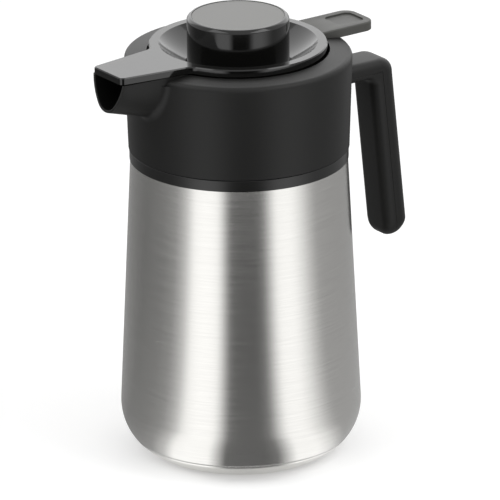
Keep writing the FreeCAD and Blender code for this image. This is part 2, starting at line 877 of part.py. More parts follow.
def make_handle_liner():
    root = "arm_root - collar_wall"
    inner_corner = (grip_at("arm_low", "0"), "arm_low")
    body = make_handle_half("handle_liner", [
        (root, "arm_low"),
        inner_corner,
        (grip_at("grip_low", "0"), "grip_low"),
        (grip_at("grip_low", "grip_seam"), "grip_low"),
        (grip_at("arm_split", "grip_seam"), "arm_split"),
        (root, "arm_split"),
    ], inner_corner, "handle_inner_corner", "handle_liner_end", "handle_liner_round")
    cut_to_collar(body)
    return body


def make_handle_screws():
    body = new_body("handle_screws")
    reach = "arm_root - collar_wall + handle_screw_length"
    for radius, start, length in (
        ("handle_screw_head", "handle_screw_seat - handle_screw_head_height", "handle_screw_head_height"),
        ("handle_screw_radius", "handle_screw_seat", f"{reach} - handle_screw_seat"),
    ):
        section = new_sketch(body, "YZ_Plane", start)
        draw_circles(section, [
            (f"{side} * handle_screw_spacing", "handle_screw_height", radius) for side in (-1, 1)
        ])
        extrude(body, "Pad", section, length)
    return body


# Lid


def make_lid_top():
    body = new_body("lid_top")
    skirt = "lid_radius - lid_wall"
    turn(body, [
        (skirt, "lid_bottom"),
        ("lid_radius", "lid_bottom"),
        ("lid_radius", "rim_height"),
        ("rim_inside", "rim_height", "dish_curve", "right"),
        ("guide_radius", "dish_low"),
        ("guide_radius", "guide_low"),
        ("guide_outside", "guide_low"),
        ("guide_outside", "dish_low - lid_wall", "dish_curve", "left"),
        ("rim_inside", "rim_height - lid_wall"),
        (skirt, "rim_height - lid_wall"),
    ])
    # Tongue that covers the spout
    plan = outline_sketch(body, "XY_Plane", [
        ("-rim_inside", "-tongue_root_half_width"),
        ("-rim_inside", "tongue_root_half_width"),
        ("-tongue_reach", "tongue_half_width"),
        ("-tongue_reach", "-tongue_half_width"),
    ], "tongue_low")
    extrude(body, "Pad", plan, "rim_height - tongue_low")
    rim = value("rim_height")
    reach = value("tongue_reach")
    lid_radius = value("lid_radius")
    half = value("tongue_half_width")
    middle_height = (rim + value("tongue_low")) / 2

    def tip_corners(middle, edge):
        return near(middle.z, middle_height) and near(middle.x, -reach) and near(abs(middle.y), half)

    def root_corners(middle, edge):
        upright = near(middle.z, middle_height)
        return upright and near(math.hypot(middle.x, middle.y), lid_radius) and middle.x < 0

    def top_edge(middle, edge):
        return near(middle.z, rim) and math.hypot(middle.x, middle.y) > lid_radius - TOLERANCE

    round_edges(body, tip_corners, "tongue_corner")
    round_edges(body, root_corners, "tongue_root_round")
    round_edges(body, top_edge, "tongue_bevel", "Chamfer")
    # Bosses for the screws that hold the underplate
    bosses = new_sketch(body, "XY_Plane", "lid_bottom")
    draw_circles(bosses, [("0", "-boss_circle", "boss_radius")])
    boss = extrude(body, "Pad", bosses, "boss_height")
    repeat_round(body, boss, 3)
    holes = new_sketch(body, "XY_Plane", "lid_bottom")
    draw_circles(holes, [("0", "-boss_circle", "small_screw_radius + screw_gap")])
    hole = extrude(body, "Pocket", holes, "small_screw_length - underplate_wall + screw_gap")
    repeat_round(body, hole, 3)
    # Slot in the skirt for the thumb piece's arm
    slot = outline_sketch(body, "XY_Plane", [
        ("guide_outside + guide_wall", "-thumb_arm_half_width - thumb_seam"),
        ("lid_radius + lid_wall", "-thumb_arm_half_width - thumb_seam"),
        ("lid_radius + lid_wall", "thumb_arm_half_width + thumb_seam"),
        ("guide_outside + guide_wall", "thumb_arm_half_width + thumb_seam"),
    ], "lid_bottom")
    extrude(body, "Pocket", slot, "thumb_arm_thickness + thumb_seam")
    return body


def make_lid_underplate():
    body = new_body("lid_underplate")
    cup_outside = "cup_radius + cup_wall"
    turn(body, [
        ("stem_radius + stem_gap", "cup_low"),
        (cup_outside, "cup_low"),
        (cup_outside, "plate_low"),
        ("plate_radius", "plate_low"),
        ("plate_radius", "lid_bottom"),
        ("cup_radius", "lid_bottom"),
        ("cup_radius", "cup_top"),
        ("hub_radius", "cup_top"),
        ("hub_radius", "cup_top + hub_height"),
        ("stem_radius + stem_gap", "cup_top + hub_height"),
    ])
    for place in ("-boss_circle", "post_circle"):
        holes = new_sketch(body, "XY_Plane", "plate_low")
        draw_circles(holes, [("0", place, "small_screw_radius + screw_gap")])
        hole = extrude(body, "Pocket", holes, "underplate_wall")
        repeat_round(body, hole, 3)
    thumb_holes = new_sketch(body, "XY_Plane", "plate_low")
    draw_circles(thumb_holes, [
        ("thumb_screw_place", f"{side} * thumb_screw_spacing", "small_screw_radius + screw_gap")
        for side in (-1, 1)
    ])
    extrude(body, "Pocket", thumb_holes, "underplate_wall")
    return body


def make_round_screws(label, place, head_low, shank_low):
    """Three upright screws on a circle, with the head and the shank started at their own heights."""
    body = new_body(label)
    for radius, start, length in (
        ("small_screw_head", head_low, "small_screw_head_height"),
        ("small_screw_radius", shank_low, "small_screw_length"),
    ):
        section = new_sketch(body, "XY_Plane", start)
        draw_circles(section, [("0", place, radius)] + [
            (f"{place} * sin({angle} deg)", f"{place} * cos({angle} deg)", radius) for angle in (120, 240)
        ])
        extrude(body, "Pad", section, length)
    return body


def make_lid_screws():
    head_low = "plate_low - small_screw_head_height"
    return make_round_screws("lid_screws", "-boss_circle", head_low, "plate_low")


def make_stopper_screws():
    shank_low = "lid_bottom - small_screw_length"
    return make_round_screws("stopper_screws", "post_circle", "lid_bottom", shank_low)


def make_thumb_piece():
    body = new_body("thumb_piece")
    # Arm under the lid, hinge knuckle and web up to the tab
    web = "lid_radius + thumb_seam + thumb_web_step"
    side = outline_sketch(body, "XZ_Plane", [
        ("thumb_arm_reach", "lid_bottom"),
        ("hinge_place", "lid_bottom", "knuckle_radius", "left"),
        ("hinge_place + knuckle_radius", "hinge_height"),
        ("hinge_place + knuckle_radius", "thumb_low"),
        (web, "thumb_low"),
        (web, "lid_bottom + thumb_arm_thickness"),
        ("thumb_arm_reach", "lid_bottom + thumb_arm_thickness"),
    ])
    extrude(body, "Pad", side, "2 * thumb_arm_half_width", both_ways=True)
    # Tab, with its inner edge round the lid
    inner = "sqrt((lid_radius + thumb_seam) ^ 2 - thumb_half_width ^ 2)"
    tab = outline_sketch(body, "XY_Plane", [
        (inner, "-thumb_half_width"),
        ("thumb_reach - thumb_corner", "-thumb_half_width", "thumb_corner", "left"),
        ("thumb_reach", "-thumb_half_width + thumb_corner"),
        ("thumb_reach", "thumb_half_width - thumb_corner", "thumb_corner", "left"),
        ("thumb_reach - thumb_corner", "thumb_half_width"),
        (inner, "thumb_half_width", "lid_radius + thumb_seam", "right"),
    ], "thumb_low")
    extrude(body, "Pad", tab, "thumb_thickness")
    tab_top = value("thumb_top")
    lid_side = value("lid_radius + thumb_seam")

    def top_edge(middle, edge):
        return near(middle.z, tab_top) and math.hypot(middle.x, middle.y) > lid_side + TOLERANCE

    round_edges(body, top_edge, "thumb_edge_round")
    # Shallow rest for the thumb
    start = "thumb_reach - dimple_margin - dimple_length"
    finish = "thumb_reach - dimple_margin"
    dimple = outline_sketch(body, "XY_Plane", [
        (f"{start} + dimple_corner", "-dimple_half_width"),
        (f"{finish} - dimple_corner", "-dimple_half_width", "dimple_corner", "left"),
        (finish, "-dimple_half_width + dimple_corner"),
        (finish, "dimple_half_width - dimple_corner", "dimple_corner", "left"),
        (f"{finish} - dimple_corner", "dimple_half_width"),
        (f"{start} + dimple_corner", "dimple_half_width", "dimple_corner", "left"),
        (start, "dimple_half_width - dimple_corner"),
        (start, "-dimple_half_width + dimple_corner", "dimple_corner", "left"),
    ], "thumb_top - dimple_depth")
    extrude(body, "Pocket", dimple, "2 * dimple_depth")
    # Bore for the hinge pin and holes for the screws
    bore = new_sketch(body, "XZ_Plane")
    draw_circles(bore, [("hinge_place", "hinge_height", "pin_radius + pin_gap")])
    extrude(body, "Pocket", bore, "4 * thumb_arm_half_width", both_ways=True)
    holes = new_sketch(body, "XY_Plane", "lid_bottom")
    draw_circles(holes, [
        ("thumb_screw_place", f"{side} * thumb_screw_spacing", "small_screw_radius + screw_gap")
        for side in (-1, 1)
    ])
    extrude(body, "Pocket", holes, "thumb_arm_thickness")
    return body


def make_thumb_screws():
    body = new_body("thumb_screws")
    for radius, start, length in (
        ("small_screw_head", "plate_low - small_screw_head_height", "small_screw_head_height"),
        ("small_screw_radius", "plate_low", "thumb_screw_length"),
    ):
        section = new_sketch(body, "XY_Plane", start)
        draw_circles(section, [
            ("thumb_screw_place", f"{side} * thumb_screw_spacing", radius) for side in (-1, 1)
        ])
        extrude(body, "Pad", section, length)
    return body


def make_stopper_body():
    body = new_body("stopper_body")
    turn(body, [
        ("valve_hole", "stopper_low"),
        ("stopper_end", "stopper_low"),
        ("stopper_radius", "floor_top"),
        ("stopper_radius", "flange_low"),
        ("flange_radius", "flange_low"),
        ("flange_radius", "flange_top"),
        ("stopper_radius - stopper_wall", "flange_top"),
        ("stopper_radius - stopper_wall", "floor_top"),
        ("stopper_end - stopper_wall", "stopper_low + stopper_floor"),
        ("valve_hole", "stopper_low + stopper_floor"),
    ])
    posts = new_sketch(body, "XY_Plane", "flange_low")
    draw_circles(posts, [("0", "post_circle", "post_radius")])
    post = extrude(body, "Pad", posts, "plate_low - flange_low")
    repeat_round(body, post, 3)
    holes = new_sketch(body, "XY_Plane", "plate_low - small_screw_length")
    draw_circles(holes, [("0", "post_circle", "small_screw_radius + screw_gap")])
    hole = extrude(body, "Pocket", holes, "small_screw_length")
    repeat_round(body, hole, 3)
    return body


def make_stopper_gasket():
    body = new_body("stopper_gasket")
    inside = "pour_radius + stopper_side_gap"
    turn(body, [
        (inside, "seat_height"),
        (f"{inside} + stopper_gasket_width", "seat_height"),
        (f"{inside} + stopper_gasket_width", "flange_low"),
        (inside, "flange_low"),
    ])
    return body


# Knob, valve and spring


def make_knob_cap():
    body = new_body("knob_cap")
    recess_floor = "knob_top - disc_drop - disc_thickness"
    recess = "knob_radius - knob_rim"
    turn(body, [
        ("stem_radius + weld_gap", "knob_roof - socket_depth"),
        ("socket_radius", "knob_roof - socket_depth"),
        ("socket_radius", "knob_roof"),
        ("knob_inside", "knob_roof"),
        ("knob_inside", "knob_low"),
        ("knob_radius", "knob_low"),
        ("knob_radius", "knob_top - knob_bevel"),
        ("knob_radius - knob_bevel", "knob_top"),
        (recess, "knob_top"),
        (recess, recess_floor),
        ("0", recess_floor),
        ("0", "knob_roof"),
        ("stem_radius + weld_gap", "knob_roof"),
    ])
    return body


def make_knob_disc():
    body = new_body("knob_disc")
    top = "knob_top - disc_drop"
    turn(body, [
        ("0", f"{top} - disc_thickness"),
        ("disc_radius", f"{top} - disc_thickness"),
        ("disc_radius", top),
        ("0", top),
    ])
    return body


def make_valve_stem():
    body = new_body("valve_stem")
    hole = "valve_screw_radius + weld_gap"
    hole_top = "valve_low + valve_screw_length + weld_gap"
    turn(body, [
        (hole, "valve_top"),
        ("stem_radius", "valve_top"),
        ("stem_radius", "knob_roof"),
        ("0", "knob_roof"),
        ("0", hole_top),
        (hole, hole_top),
    ])
    return body


def make_valve_head():
    body = new_body("valve_head")
    turn(body, [
        ("valve_screw_radius + weld_gap", "valve_low"),
        ("valve_radius", "valve_low"),
        ("valve_radius", "valve_top"),
        ("valve_screw_radius + weld_gap", "valve_top"),
    ])
    return body


def make_valve_seal():
    body = new_body("valve_seal")
    turn(body, [
        ("valve_radius - seal_width", "valve_top"),
        ("valve_radius", "valve_top"),
        ("valve_radius", "seal_top"),
        ("valve_radius - seal_width", "seal_top"),
    ])
    return body


def make_valve_screw():
    body = new_body("valve_screw")
    turn(body, [
        ("0", "valve_low - valve_screw_head_height"),
        ("valve_screw_head", "valve_low - valve_screw_head_height"),
        ("valve_screw_head", "valve_low"),
        ("valve_screw_radius", "valve_low"),
        ("valve_screw_radius", "valve_low + valve_screw_length"),
        ("0", "valve_low + valve_screw_length"),
    ])
    return body


def biarc(start, along, finish, onward):
    """Two arcs from start to finish that leave along one direction and arrive along the other."""
    chord = finish - start
    total = along + onward
    spread = 2 * (1 - along.dot(onward))
    reach = (math.sqrt(chord.dot(total) ** 2 + spread * chord.dot(chord)) - chord.dot(total)) / spread
    first = start + along * reach
    second = finish - onward * reach
    joint = (first + second) / 2
    return [arc_to(start, first, joint), arc_to(joint, second, finish)]


def arc_to(start, corner, finish):
    """Arc tangent to both sides of an even corner."""
    middle = (start + finish) / 2
    half = (finish - start).Length / 2
    bend = (corner - start).getAngle(finish - corner)
    rise = half * math.tan(bend / 4)
    return Part.Arc(start, middle + (corner - middle).normalize() * rise, finish).toShape()


def make_valve_spring():
    """Return spring between the cup's floor and the knob, one wire along quarter-turn arcs."""
    radius = value("spring_radius")
    wire = value("spring_wire")
    low = value("cup_top + spring_wire + spring_gap")
    high = value("knob_roof - spring_wire - spring_gap")
    quarters = round(4 * value("spring_turns"))
    pitch = (high - low) / quarters * 4
    climb = pitch / (2 * math.pi)

    def point(step):
        angle = step * math.pi / 2
        return FreeCAD.Vector(radius * math.cos(angle), radius * math.sin(angle), low + step * pitch / 4)

    def heading(step):
        angle = step * math.pi / 2
        return FreeCAD.Vector(-radius * math.sin(angle), radius * math.cos(angle), climb).normalize()

    edges = []
    for step in range(quarters):
        edges += biarc(point(step), heading(step), point(step + 1), heading(step + 1))
    path = Part.Wire(edges)
    section = Part.Wire(Part.makeCircle(wire, point(0), heading(0)))
    spring = doc.addObject("Part::Feature", "valve_spring")
    spring.Label = "valve_spring"
    spring.Shape = path.makePipeShell([section], True, False)
    gap = pitch - 2 * wire
    print(f"spring: {quarters / 4} turns, gap between turns {gap:.2f} mm")
    return spring


MAKERS = [
    make_outer_shell, make_shell_neck, make_bottom_cap, make_vacuum_base_plate, make_vacuum_plug,
    make_inner_flask, make_flask_neck,
    make_trim_ring, make_neck_thread_ring, make_neck_gasket, make_collar, make_hinge_pin,
    make_handle_shell, make_handle_liner, make_handle_screws,
    make_lid_top, make_lid_underplate, make_lid_screws, make_thumb_piece, make_thumb_screws,
    make_stopper_body, make_stopper_screws, make_stopper_gasket,
    make_knob_cap, make_knob_disc, make_valve_stem, make_valve_head, make_valve_seal, make_valve_screw,
    make_valve_spring,
]


def write_parts(pieces):
    """Check every object and shape, then write one file for each piece."""
    doc.recompute()
    for thing in doc.Objects:
        if "Invalid" in thing.State or "Error" in thing.State:
            raise RuntimeError(f"{thing.Name} did not compute")
    for piece in pieces:
        if piece.Shape.isNull() or not piece.Shape.isValid() or not piece.Shape.Solids:
            raise RuntimeError(f"{piece.Label} has no sound shape")
    os.makedirs("parts", exist_ok=True)
    for piece in pieces:
        piece.Shape.exportStep(f"parts/{piece.Label}.step")
        print(f"{piece.Label}: {len(piece.Shape.Solids)} solid(s), {piece.Shape.Volume:.1f} mm3")


fill_sheet()
write_parts([make() for make in MAKERS])
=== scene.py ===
"""Looks of a steel vacuum jug with a black pouring collar, a hinged lid and a push knob."""

import json
import math

import bmesh
import bpy
from mathutils import Matrix, Vector


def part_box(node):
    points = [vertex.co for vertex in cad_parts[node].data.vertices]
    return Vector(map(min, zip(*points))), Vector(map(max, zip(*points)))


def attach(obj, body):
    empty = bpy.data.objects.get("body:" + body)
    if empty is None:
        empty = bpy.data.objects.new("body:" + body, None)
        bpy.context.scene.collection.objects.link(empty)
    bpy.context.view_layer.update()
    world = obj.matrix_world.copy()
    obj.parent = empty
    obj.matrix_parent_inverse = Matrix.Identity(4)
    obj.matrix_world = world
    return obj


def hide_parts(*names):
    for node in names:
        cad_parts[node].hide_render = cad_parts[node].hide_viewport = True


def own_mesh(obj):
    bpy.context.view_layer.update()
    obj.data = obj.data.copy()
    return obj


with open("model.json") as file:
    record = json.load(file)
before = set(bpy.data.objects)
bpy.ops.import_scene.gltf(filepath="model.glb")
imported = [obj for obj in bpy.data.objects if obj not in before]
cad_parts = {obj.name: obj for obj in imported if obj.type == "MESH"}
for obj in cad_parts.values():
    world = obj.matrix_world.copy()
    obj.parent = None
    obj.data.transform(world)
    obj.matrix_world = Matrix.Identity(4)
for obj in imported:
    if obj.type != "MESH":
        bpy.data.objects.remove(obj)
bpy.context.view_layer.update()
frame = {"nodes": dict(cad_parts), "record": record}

bl_info = {
    "name": "Thermal Carafe",
    "version": (1, 0, 0),
    "blender": (4, 5, 0),
    "location": "View3D > Sidebar > Carafe",
    "description": "Dresses the packed thermal carafe and sets it in a plain studio",
    "category": "Object",
}

MM = 0.001
# Steps of a full turn on the jug and on the stage, and the longest arc between two points of an outline.
TURN_STEPS = 192
STAGE_STEPS = 96
ARC_STEP = math.radians(3)
# Two points nearer than this are one.
WELD = 1e-6
# Edges sharper than this stay crisp.
CRISP = math.radians(28)
# Faces that bend less than this lie in one plane.
FLAT = math.radians(0.02)
# Faces across a softened edge.
ROUND_STEPS = 3
# Steps of the handle's round corners, along it and across it.
KNEE_STEPS = 16
CORNER_STEPS = 10
# The floor lies just under the jug's base, and the light tent just over the floor.
FLOOR_DROP = 0.1 * MM
TENT_LIFT = 0.5 * MM


def linear(text):
    """Linear colour of an sRGB hex value."""
    shares = [int(text[i:i + 2], 16) / 255 for i in (1, 3, 5)]
    return tuple(s / 12.92 if s <= 0.04045 else ((s + 0.055) / 1.055) ** 2.4 for s in shares)


def length(name, description, default):
    """A length in metres that shows its unit in the sidebar."""
    return bpy.props.FloatProperty(
        name=name, description=description, default=default, min=0.0, precision=5, unit="LENGTH"
    )


def colour(name, description, text):
    """A colour written as sRGB hex."""
    return bpy.props.FloatVectorProperty(
        name=name, description=description, default=linear(text), size=3, min=0.0, max=1.0,
        subtype="COLOR",
    )


def turned(name, description, degrees):
    """An angle written in degrees."""
    return bpy.props.FloatProperty(
        name=name, description=description, default=math.radians(degrees), subtype="ANGLE"
    )


def amount(name, description, default):
    """A plain number, such as a light's strength."""
    return bpy.props.FloatProperty(name=name, description=description, default=default, min=0.0)


class CarafeSizes(bpy.types.PropertyGroup):
    """Sizes of the pieces that are shaped here, and of the marks on their surfaces."""

    base_radius: length("Base radius", "Edge of the flat base", 47.5 * MM)
    belly_radius: length("Belly radius", "Widest part of the body", 67.75 * MM)
    belly_height: length("Belly height", "Height of the widest part", 30.6 * MM)
    shell_top: length("Shell top", "Height where the steel meets the ring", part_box("trim_ring")[0].z)
    shell_top_radius: length("Shell top radius", "Steel body under the ring", 61.1 * MM)
    shell_wall: length("Shell wall", "Thickness of the steel", 1.0 * MM)
    shoulder_width: length("Shoulder width", "Flat ledge under the ring", 7.0 * MM)
    shoulder_rise: length("Shoulder rise", "Height of the sloping shoulder", 10.5 * MM)
    neck_radius: length("Neck radius", "Outside of the steel neck", 41.0 * MM)
    cap_height: length("Cap height", "Upper edge of the bottom cap", 9.8 * MM)
    cap_seam: length("Cap seam", "Gap between cap and body", 0.03 * MM)
    cap_wall: length("Cap wall", "Thickness of the bottom cap", 1.2 * MM)
    ring_step: length("Ring step", "Depth of the line over the ring", 1.0 * MM)
    ring_seam: length("Ring seam", "Height of the line over the ring", 0.5 * MM)
    edge_round: length("Edge round", "Small round on moulded edges", 0.4 * MM)
    knob_bevel: length("Knob bevel", "Bevel round the knob's top", 1.6 * MM)
    mouth_depth: length("Mouth depth", "Length of the spout whose edges are softened", 5.0 * MM)
    dimple_depth: length("Dimple depth", "Rest for the thumb", 0.9 * MM)
    arm_thickness: length("Arm thickness", "Handle arm, top to bottom", 10.5 * MM)
    arm_seam: length("Arm seam", "Seam below the arm's top", 7.0 * MM)
    arm_round_outside: length("Arm round, outside", "Round on the arm's upper edges", 4.5 * MM)
    arm_round_inside: length("Arm round, inside", "Round on the arm's lower edges", 3.2 * MM)
    grip_place: length("Grip place", "Finger side of the grip under the arm", 85.37 * MM)
    grip_lean: turned("Grip lean", "Lean of the grip away from the jug", 5.9)
    grip_depth: length("Grip depth", "Grip from finger side to outside", 16.8 * MM)
    grip_seam: length("Grip seam", "Seam from the finger side", 6.5 * MM)
    grip_round_outside: length("Grip round, outside", "Round on the grip's outer edges", 8.6 * MM)
    grip_round_inside: length("Grip round, inside", "Round on the grip's finger side", 6.0 * MM)
    grip_end: length("Grip end", "Round of the lower end across and outside", 9.6 * MM)
    grip_end_inside: length("Grip end, inside", "Round of the lower end's finger side", 6.0 * MM)
    handle_knee: length("Handle knee", "Outer round where the arm turns down", 10.5 * MM)
    handle_inner_knee: length("Handle inner knee", "Inner round where the arm turns down", 4.5 * MM)
    handle_seam: length("Handle seam", "Fine line between the handle's halves", 0.2 * MM)
    brush_line: length("Brush line", "Height of a brushed streak, drawn coarse enough to show", 0.55 * MM)
    brush_run: length("Brush run", "Length of a brushed streak", 30.0 * MM)
    mould_grain: length(
        "Mould grain", "Grain of the matt mouldings, drawn coarse enough to show", 0.6 * MM
    )
    polish_wave: length("Polish wave", "Slow waves in glossy mouldings", 14.0 * MM)
    turning_line: length(
        "Turning line", "Spacing of the rings on the disc, drawn coarse enough to show", 0.8 * MM
    )


class CarafeColours(bpy.types.PropertyGroup):
    """Colours of the materials."""

    steel_low: colour("Steel, low streaks", "Darker brushed streaks", "#c0bfbc")
    steel_high: colour("Steel, high streaks", "Lighter brushed streaks", "#d6d5d2")
    polished_steel: colour("Polished steel", "Bottom cap and flask", "#d6d5d2")
    bright_steel: colour("Bright steel", "Pin, screws, stem and spring", "#cfcfcd")
    matt_black: colour("Matt black", "Collar and handle", "#0a0a09")
    matt_black_grain: colour("Matt black, grain", "Raised grain of the matt mouldings", "#0f0f0e")
    lever_grey: colour("Lever grey", "Thumb piece", "#41413e")
    lever_grey_grain: colour("Lever grey, grain", "Raised grain of the thumb piece", "#494946")
    satin_black: colour("Satin black", "Ring between steel and collar", "#0b0b0a")
    gloss_black: colour("Gloss black", "Lid and knob", "#060605")
    disc_grey: colour("Disc grey", "Disc in the knob", "#5a5a58")
    inner_grey: colour("Inner grey", "Mouldings under the lid", "#3c3c3d")
    seal_grey: colour("Seal grey", "Silicone seals", "#a3a29e")
    floor_white: colour("Floor white", "Studio floor", "#f0f0f0")


class CarafeStudio(bpy.types.PropertyGroup):
    """Camera, floor and lights."""

    azimuth: turned("Camera azimuth", "Camera's angle round the jug, from -Y towards +X", -35.5)
    elevation: turned("Camera elevation", "Camera's angle above the floor", 19.9)
    roll: turned("Camera roll", "Lean of the jug's axis in the picture, to the left", 0.45)
    distance: length("Camera distance", "From the camera to the jug", 5.5)
    view_width: length("View width", "Width of the picture at the jug", 0.28125)
    aim_height: length("Aim height", "Height that the camera looks at", 117.3 * MM)
    aim_shift: length("Aim shift", "Camera's aim to the right of the jug's axis", 5.7 * MM)
    floor_radius: length("Floor radius", "Round studio floor", 4.0)
    floor_glow: amount("Floor glow", "What the floor adds to its own light to be white", 0.25)
    sky: amount("Sky", "Light from all round on the jug", 0.8)
    key_power: amount("Key power", "Large lamp on the camera's right, in watts", 6.0)
    key_side: turned("Key side", "Angle of the key lamp to the camera's right", 65.0)
    key_rise: turned("Key rise", "Angle of the key lamp above the floor", 48.0)
    fill_power: amount("Fill power", "Large lamp on the camera's left, in watts", 4.0)
    fill_side: turned("Fill side", "Angle of the fill lamp to the camera's right", -60.0)
    fill_rise: turned("Fill rise", "Angle of the fill lamp above the floor", 50.0)
    lamp_size: length("Lamp size", "Side of the square lamps", 0.9)
    lamp_distance: length("Lamp distance", "From the lamps to the jug", 1.6)
    tent_inside: length("Tent inside", "Inner edge of the light tent on the floor", 0.058)
    tent_radius: length("Tent radius", "Wall of the light tent", 0.9)
    tent_height: length("Tent height", "Top of the light tent", 0.12)
    foot_reach: length("Foot cloth reach", "Distance from the axis at which the foot cloth ends", 0.5)
    foot_share: amount("Foot cloth share", "How far the foot cloth evens out the panels", 0.15)
    foot_level: amount("Foot cloth level", "Brightness of the foot cloth", 0.9)
    card_level: length("Card level", "Height of the surfaces that the card behind the jug lights", 0.24)
    card_elevation: turned("Card elevation", "Angle of the card above the lid", 34.0)
    card_width: length("Card width", "Width of the card behind the jug", 1.7)
    card_height: length("Card height", "Height of the card behind the jug", 1.0)
    card_glow: amount("Card glow", "Brightness of the card behind the jug", 2.0)


def add_node(tree, kind, inputs=None, **settings):
    """Adds a node with its settings, and gives each named input a value or a link."""
    node = tree.nodes.new(kind)
    for name, setting in settings.items():
        setattr(node, name, setting)
    for name, source in (inputs or {}).items():
        if isinstance(source, bpy.types.NodeSocket):
            tree.links.new(source, node.inputs[name])
        else:
            node.inputs[name].default_value = source
    return node


def new_material(name):
    """An empty node material, and its tree."""
    material = bpy.data.materials.new(name)
    material.use_nodes = True
    material.node_tree.nodes.clear()
    return material, material.node_tree


def finish_material(tree, inputs):
    """Ends a material in one shader with these inputs."""
    shader = add_node(tree, "ShaderNodeBsdfPrincipled", inputs)
    add_node(tree, "ShaderNodeOutputMaterial", {"Surface": shader.outputs["BSDF"]})


def opaque(rgb):
    """A colour as a node socket takes it."""
    return (*rgb, 1.0)


def brushed_stainless_steel(sizes, colours):
    # Stainless sheet, brushed round the body: fine level scratches that draw reflections out upwards.
    # They are drawn coarser than real scratches, so that they show.
    material, tree = new_material("brushed_stainless_steel")
    place = add_node(tree, "ShaderNodeTexCoord")
    run, line = 1 / sizes.brush_run, 1 / sizes.brush_line
    stretched = add_node(tree, "ShaderNodeMapping", {
        "Vector": place.outputs["Object"], "Scale": (run, run, line),
    })
    streaks = add_node(tree, "ShaderNodeTexNoise", {
        "Vector": stretched.outputs["Vector"], "Scale": 1.0, "Detail": 4.0, "Roughness": 0.65,
    })
    shade = add_node(tree, "ShaderNodeMix", {
        "Factor": streaks.outputs["Fac"],
        "A": opaque(colours.steel_low),
        "B": opaque(colours.steel_high),
    }, data_type="RGBA")
    rough = add_node(tree, "ShaderNodeMapRange", {
        "Value": streaks.outputs["Fac"], "To Min": 0.2, "To Max": 0.3,
    })
    bump = add_node(tree, "ShaderNodeBump", {
        "Height": streaks.outputs["Fac"], "Strength": 0.09, "Distance": 0.1 * MM,
    })
    around = add_node(tree, "ShaderNodeTangent", direction_type="RADIAL", axis="Z")
    finish_material(tree, {
        "Base Color": shade.outputs["Result"],
        "Metallic": 1.0,
        "Roughness": rough.outputs["Result"],
        "Anisotropic": 0.6,
        "Anisotropic Rotation": 0.25,
        "Tangent": around.outputs["Tangent"],
        "Normal": bump.outputs["Normal"],
    })
    return material


def patchy_material(name, shade, spacing, detail, dull, metallic=0.0):
    """A plain-coloured surface whose roughness wanders between two values, in patches of this spacing."""
    material, tree = new_material(name)
    place = add_node(tree, "ShaderNodeTexCoord")
    patches = add_node(tree, "ShaderNodeTexNoise", {
        "Vector": place.outputs["Object"], "Scale": 1 / spacing, "Detail": detail,
    })
    rough = add_node(tree, "ShaderNodeMapRange", {
        "Value": patches.outputs["Fac"], "To Min": dull[0], "To Max": dull[1],
    })
    finish_material(tree, {
        "Base Color": opaque(shade), "Metallic": metallic, "Roughness": rough.outputs["Result"],
    })
    return material


def polished_stainless_steel(sizes, colours):
    # Deep-drawn stainless sheet, buffed: smoother and lighter than the body, with faint buffing marks.
    return patchy_material(
        "polished_stainless_steel", colours.polished_steel, sizes.polish_wave,
        detail=3.0, dull=(0.16, 0.24), metallic=1.0,
    )


def bright_steel(sizes, colours):
    # Drawn stainless wire and rod for pin, screws, stem and spring: bright with faint drawing marks.
    return patchy_material(
        "bright_drawn_steel", colours.bright_steel, sizes.brush_line,
        detail=2.0, dull=(0.18, 0.3), metallic=1.0,
    )


def grained_plastic(name, sizes, low, high):
    """Moulded plastic with an even fine grain between two shades."""
    # The grain is drawn coarser than the real one, so that it shows.
    material, tree = new_material(name)
    place = add_node(tree, "ShaderNodeTexCoord")
    grain = add_node(tree, "ShaderNodeTexNoise", {
        "Vector": place.outputs["Object"], "Scale": 1 / sizes.mould_grain, "Detail": 2.0,
    })
    shade = add_node(tree, "ShaderNodeMix", {
        "Factor": grain.outputs["Fac"], "A": opaque(low), "B": opaque(high),
    }, data_type="RGBA")
    rough = add_node(tree, "ShaderNodeMapRange", {
        "Value": grain.outputs["Fac"], "To Min": 0.42, "To Max": 0.54,
    })
    bump = add_node(tree, "ShaderNodeBump", {
        "Height": grain.outputs["Fac"], "Strength": 0.15, "Distance": 0.1 * MM,
    })
    finish_material(tree, {
        "Base Color": shade.outputs["Result"],
        "Roughness": rough.outputs["Result"],
        "Specular IOR Level": 0.3,
        "Normal": bump.outputs["Normal"],
    })
    return material


def matt_moulded_plastic(sizes, colours):
    # Polypropylene moulded in a spark-eroded tool: an even fine grain that scatters highlights.
    return grained_plastic(
        "matt_black_polypropylene", sizes, colours.matt_black, colours.matt_black_grain
    )


def lever_moulded_plastic(sizes, colours):
    # The thumb lever's plastic has the collar's grain but is a mid grey.
    return grained_plastic(
        "matt_grey_polypropylene", sizes, colours.lever_grey, colours.lever_grey_grain
    )


def satin_moulded_plastic(sizes, colours):
    # ABS moulded in a stoned tool: smoother than the collar, so the ring keeps a soft shine.
    return patchy_material(
        "satin_moulded_abs", colours.satin_black, sizes.mould_grain, detail=1.0, dull=(0.26, 0.34)
    )


def gloss_moulded_plastic(sizes, colours):
    # ABS moulded in a mirror-polished tool: clear reflections, with the slow waves of shrinkage.
    return patchy_material(
        "gloss_moulded_abs", colours.gloss_black, sizes.polish_wave, detail=1.0, dull=(0.06, 0.12)
    )


